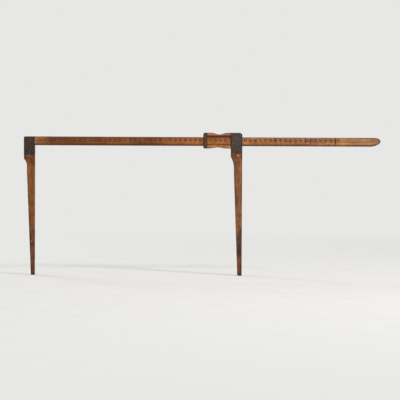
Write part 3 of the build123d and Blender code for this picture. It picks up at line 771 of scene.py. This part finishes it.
def plate_piece(node, material, body, seed):
    """Cover plate with a bevelled rim and shallow hammer marks on its outer side."""
    low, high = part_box(node)
    front = low.y < 0
    inner, outer = [PLATE_SHARP] * 2, [PLATE_BEVEL] * 2
    corners = inner + outer if front else outer + inner
    columns = max(6, round((high.x - low.x) / PLATE_STEP))
    sheet = bmesh.new()
    rings = []
    for place in spread(low.z, high.z, PLATE_STEP):
        lowest, highest = slice_box(node, Z, place)
        rings.append((place, rounded_loop(lowest.x, lowest.y, highest.x, highest.y, corners, columns, 1)))
    loft(sheet, Z, rings)
    sheet.normal_update()
    outward = Vector((0, -1 if front else 1, 0))
    dents = []
    for vertex in sheet.verts:
        facing = vertex.normal.dot(outward)
        if facing > 0.5:
            spot = vertex.co / HAMMER_SIZE + Vector((seed, seed, seed))
            nearest = noise.voronoi(spot)[0][0]
            dents.append((vertex, outward * -HAMMER_DEPTH * max(0.0, 1 - HAMMER_FALL * nearest)))
    for vertex, dent in dents:
        vertex.co += dent
    soften(sheet, wear=0.12 * MM, nicks=0.35 * MM, grain=PLATE_GRAIN, seed=seed)
    piece("hammered_" + node, sheet, body, material, [node])


def solid_centres(node):
    """Middle of each separate solid of a CAD node, seen along Y."""
    solids = []
    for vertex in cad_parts[node].data.vertices:
        spot = (vertex.co.x, vertex.co.z)
        near = [s for s in solids if math.dist(spot, s[0]) < SAME_RIVET]
        if near:
            near[0].append(spot)
        else:
            solids.append([spot])
    centres = []
    for spots in solids:
        xs, zs = zip(*spots)
        centres.append(((min(xs) + max(xs)) / 2, (min(zs) + max(zs)) / 2))
    return centres


def rivet_ring(sheet, centre, y, radius, edge, turn, oval):
    """One ring of a rivet, slightly oval and slightly three-cornered."""
    layer = sheet.verts.layers.float["edge"]
    ring = []
    for i in range(RIVET_SEGMENTS):
        angle = i * math.tau / RIVET_SEGMENTS
        squeezed = oval * (1 + math.cos(2 * (angle + turn)))
        cornered = 0.6 * oval * (1 + math.cos(3 * angle - turn))
        beaten = 1 - squeezed - cornered
        x = centre[0] + math.cos(angle) * radius * beaten
        z = centre[1] + math.sin(angle) * radius * beaten
        vertex = sheet.verts.new((x, y, z))
        vertex[layer] = edge
        ring.append(vertex)
    return ring


def rivet_pieces(node, body, plate, material, rng):
    """Through rivets with heads hammered over by hand, each a little different."""
    plate_y = -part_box(plate)[0].y
    head = -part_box(node)[0].y - plate_y
    sheet = bmesh.new()
    sheet.verts.layers.float.new("edge")
    for centre in solid_centres(node):
        rings = []
        for side in (-1, 1):
            turn = rng.uniform(0, math.tau)
            oval = rng.uniform(0.01, 0.045)
            tall = head * rng.uniform(0.88, 1.0)
            for reach, rise in RIVET_PROFILE if side < 0 else RIVET_PROFILE[::-1]:
                y = side * (plate_y + tall * rise)
                edge = 0.8 if reach > 0.9 else 0.0
                rings.append(rivet_ring(sheet, centre, y, RIVET_RADIUS * reach, edge, turn, oval))
        for ring, following in zip(rings, rings[1:]):
            for i in range(RIVET_SEGMENTS):
                j = (i + 1) % RIVET_SEGMENTS
                sheet.faces.new((ring[i], ring[j], following[j], following[i]))
    bmesh.ops.remove_doubles(sheet, verts=sheet.verts[:], dist=0.002 * MM)
    piece("hammered_" + node, sheet, body, material, [node], smooth_angle=50)


fixed_jaw_piece()
sliding_jaw_piece()
beam_piece()
upper_rail_piece()
lower_rail_piece()
pressure_strip_piece()
for side in ("front", "back"):
    seed = 2.0 if side == "front" else 5.0
    plate_piece("fixed_head_plate_" + side, fixed_iron, FIXED, seed)
    plate_piece("slider_head_plate_" + side, slider_iron, SLIDER, seed + 1)
    plate_piece("slider_end_plate_" + side, end_iron, SLIDER, seed + 2)
rivet_rng = random.Random(41)
for node in ("fixed_tenon_rivets", "fixed_jaw_rivets"):
    rivet_pieces(node, FIXED, "fixed_head_plate_front", fixed_iron, rivet_rng)
for node in ("upper_rail_rivets", "sliding_jaw_rivets", "slider_end_rivets"):
    rivet_pieces(node, SLIDER, "slider_head_plate_front", slider_iron, rivet_rng)
for node in ("strip_guide_pins", "tension_spring", "spring_rivet"):
    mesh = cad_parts[node].data
    mesh.materials.clear()
    mesh.materials.append(spring_iron)


# ------------------------------------------------------------------ stamped scale
def embolden(mesh, by):
    """Moves the outline of a flat mesh outwards. Points closer than half the move become one."""
    sheet = bmesh.new()
    sheet.from_mesh(mesh)
    bmesh.ops.remove_doubles(sheet, verts=sheet.verts[:], dist=by / 2)
    bmesh.ops.triangulate(sheet, faces=sheet.faces[:])
    moves = []
    for vertex in sheet.verts:
        push = Vector((0, 0, 0))
        for edge in vertex.link_edges:
            if edge.is_boundary:
                start, end = (v.co for v in edge.verts)
                across = (end - start).cross(Vector((0, 0, 1))).normalized()
                inwards = edge.link_faces[0].calc_center_median() - start
                push += across if across.dot(inwards) < 0 else -across
        if push.length > 0:
            moves.append((vertex, push.normalized() * by * min(2 / push.length, SHARPEST_MOVE)))
    for vertex, move in moves:
        vertex.co += move
    sheet.to_mesh(mesh)
    sheet.free()


def digit_meshes():
    """One flat mesh for each digit, one unit tall, centred on the origin."""
    made = {}
    for digit in "0123456789":
        curve = bpy.data.curves.new("digit_" + digit, "FONT")
        curve.body = digit
        curve.resolution_u = 3
        holder = bpy.data.objects.new("digit_" + digit, curve)
        bpy.context.scene.collection.objects.link(holder)
        graph = bpy.context.evaluated_depsgraph_get()
        mesh = bpy.data.meshes.new_from_object(holder.evaluated_get(graph))
        embolden(mesh, DIGIT_BOLD)
        xs = [v.co.x for v in mesh.vertices]
        ys = [v.co.y for v in mesh.vertices]
        centre = Vector(((max(xs) + min(xs)) / 2, (max(ys) + min(ys)) / 2, 0))
        mesh.transform(Matrix.Scale(1 / (max(ys) - min(ys)), 4) @ Matrix.Translation(-centre))
        bpy.data.objects.remove(holder)
        bpy.data.curves.remove(curve)
        made[digit] = mesh
    return made


def to_face(side):
    """Takes a sheet drawn as (right, up) on to the beam's front (-1) or back (+1) face."""
    right = Vector((-side, 0, 0))
    out = Vector((0, side, 0))
    turn = Matrix((right, Vector((0, 0, 1)), out)).transposed().to_4x4()
    return Matrix.Translation((0, side * (BEAM_FACE_Y + MARK_PROUD), BEAM_TOP)) @ turn


def stamped(name, sheet, side):
    """Flat marks thickened into the wood and set on one face of the beam."""
    extruded = bmesh.ops.extrude_face_region(sheet, geom=sheet.faces[:])
    moved = [v for v in extruded["geom"] if isinstance(v, bmesh.types.BMVert)]
    bmesh.ops.translate(sheet, verts=moved, vec=(0, 0, -MARK_SINK))
    sheet.transform(to_face(side))
    piece(name + ("_back" if side > 0 else "_front"), sheet, FIXED, ink, [])


def digit_offsets(text):
    """Distance of each digit's middle from its division line, in the direction of reading.

    A full line splits its number: the first digit is on its left and the rest are on its right.
    """
    widths = [NARROW_ADVANCE if digit == "1" else DIGIT_ADVANCE for digit in text]
    line = FULL_LINE_WIDTHS.get(int(text))
    start = -widths[0] if line else -sum(widths) / 2
    offsets = []
    for place, width in enumerate(widths):
        offset = (start + width / 2) * NUMBER_HEIGHT
        if line:
            offset += (line / 2 + LINE_MARGIN) * (1 if place else -1)
        offsets.append(offset)
        start += width
    return offsets


def scale_numbers(side, digits):
    """Numbers 2 to 120 at each division, every digit set by hand with its own punch."""
    rng = random.Random(11 + side)
    sheet = bmesh.new()
    for mark in range(1, LAST_MARK + 1):
        text = str(2 * mark)
        middle = ZERO_X + mark * STEP
        for digit, offset in zip(text, digit_offsets(text)):
            right = -side * middle + offset + rng.uniform(-0.3, 0.3) * MM
            up = -NUMBER_CENTRE + rng.uniform(-0.4, 0.4) * MM
            turn = Matrix.Rotation(math.radians(rng.uniform(-2.5, 2.5)), 4, "Z")
            tall = NUMBER_HEIGHT * rng.uniform(0.97, 1.03)
            size = Matrix.Diagonal((tall * DIGIT_WIDTH, tall, tall, 1))
            copy = digits[digit].copy()
            copy.transform(Matrix.Translation((right, up, 0)) @ turn @ size)
            sheet.from_mesh(copy)
            bpy.data.meshes.remove(copy)
    stamped("scale_numbers", sheet, side)


def line_shape(sheet, middle, foot, tall, wide, taper=1.0, lean=0.0):
    """A cut line; taper is its width at the top against its width at the foot."""
    half = wide / 2
    waist = half * (1 + taper) / 2
    waist_up = foot + tall * WAIST_HEIGHT
    outline = (
        (middle - half, foot),
        (middle + half, foot),
        (middle + waist + lean, waist_up),
        (middle + half * taper + lean * 2, foot + tall),
        (middle - half * taper + lean * 2, foot + tall),
        (middle - waist + lean, waist_up),
    )
    sheet.faces.new([sheet.verts.new((right, up, 0)) for right, up in outline])


def scale_lines(side):
    """Division lines at the foot of the face: long every 2 cm, short between, and a few full ones."""
    rng = random.Random(23 + side)
    sheet = bmesh.new()
    for half_step in range(1, 2 * LAST_MARK + 1):
        tall = SHORT_TICK if half_step % 2 else LONG_TICK
        tall += rng.uniform(-0.5, 0.5) * MM
        wide = TICK_WIDTH * rng.uniform(0.8, 1.2)
        middle = -side * (ZERO_X + half_step * STEP / 2)
        lean = rng.uniform(-0.12, 0.12) * MM
        if half_step not in FULL_LINE_WIDTHS:
            line_shape(sheet, middle, -TICK_FOOT, tall, wide, TICK_TAPER, lean)
    for reading, wide in FULL_LINE_WIDTHS.items():
        middle = -side * (ZERO_X + reading / 2 * STEP)
        line_shape(sheet, middle, -FULL_LINE_FOOT, FULL_LINE, wide)
    stamped("scale_lines", sheet, side)


digits = digit_meshes()
for side in (-1, 1):
    scale_numbers(side, digits)
    scale_lines(side)
for mesh in digits.values():
    bpy.data.meshes.remove(mesh)


# ------------------------------------------------------------------ studio
FLOOR_RADIUS = 30.0
FLOOR_FADE = (0.5, 4.0)                  # where the floor's own shade gives way to the studio's tone
FLOOR_SQUEEZE = 0.45                     # the fade starts further out along the tool
LIGHT_TARGET = Vector((0, 0, 0.35))


def pale_floor():
    """Matt pale floor that fades into the studio's tone away from the tool."""
    mesh = bpy.data.meshes.new("floor")
    sheet = bmesh.new()
    bmesh.ops.create_circle(sheet, cap_ends=True, radius=FLOOR_RADIUS, segments=96)
    sheet.to_mesh(mesh)
    sheet.free()
    floor = bpy.data.objects.new("floor", mesh)
    bpy.context.scene.collection.objects.link(floor)
    g = Graph("pale_floor")
    mottle = g.noise(g.here, 9.0, 5.0, 0.6)
    g.finish(g.ramp(mottle, ((0.3, (0.80, 0.80, 0.785, 1)), (0.7, (0.84, 0.84, 0.825, 1)))), 0.9)
    g.shader.inputs["Specular IOR Level"].default_value = 0.1
    spot = g.stretched(FLOOR_SQUEEZE, 1, 1)
    distance = g.node("ShaderNodeVectorMath", [spot], operation="LENGTH").outputs["Value"]
    glow = g.node("ShaderNodeEmission", {"Color": PALE + (1.0,), "Strength": 1.0}).outputs[0]
    blend = g.node("ShaderNodeMixShader", [g.band(distance, *FLOOR_FADE), g.shader.outputs[0], glow])
    g.plug(blend.outputs[0], g.tree.nodes["Material Output"].inputs["Surface"])
    mesh.materials.append(g.material)


def soft_light(name, place, size, watts, colour):
    """Round area light that shines on the middle of the tool."""
    light = bpy.data.lights.new(name, "AREA")
    light.shape = "DISK"
    light.size = size
    light.energy = watts
    light.color = colour
    holder = bpy.data.objects.new(name, light)
    holder.location = place
    holder.rotation_euler = (LIGHT_TARGET - Vector(place)).to_track_quat("-Z", "Y").to_euler()
    bpy.context.scene.collection.objects.link(holder)


world = bpy.data.worlds.new("studio")
world.use_nodes = True
background = world.node_tree.nodes["Background"]
background.inputs["Color"].default_value = PALE + (1.0,)
seen = world.node_tree.nodes.new("ShaderNodeLightPath").outputs["Is Camera Ray"]
strength = world.node_tree.nodes.new("ShaderNodeMapRange")
strength.inputs["To Min"].default_value = AMBIENT
world.node_tree.links.new(seen, strength.inputs["Value"])
world.node_tree.links.new(strength.outputs["Result"], background.inputs["Strength"])
bpy.context.scene.world = world
bpy.context.scene.view_settings.view_transform = "Standard"

pale_floor()
soft_light("key", (5.0, -4.3, 4.8), size=1.6, watts=400, colour=(1.0, 0.97, 0.93))
soft_light("fill", (-4.4, 4.0, 4.2), size=3.0, watts=170, colour=(0.97, 0.98, 1.0))

# ------------------------------------------------------------------ camera
CAMERA_DISTANCE = 6.5
LENS = 146.25                            # 1.6 m of the tool across the frame at this distance
PITCH = math.radians(1.5)
ROLL = math.radians(0.27)
AIM = Vector((-0.008, 0.0, 0.3019))

camera_data = bpy.data.cameras.new("camera")
camera_data.lens = LENS
camera = bpy.data.objects.new("camera", camera_data)
bpy.context.scene.collection.objects.link(camera)
camera.location = AIM + Vector((0, -math.cos(PITCH), math.sin(PITCH))) * CAMERA_DISTANCE
look = (AIM - camera.location).to_track_quat("-Z", "Y")
camera.rotation_mode = "QUATERNION"
camera.rotation_quaternion = look @ Matrix.Rotation(ROLL, 4, "Z").to_quaternion()
bpy.context.scene.camera = camera
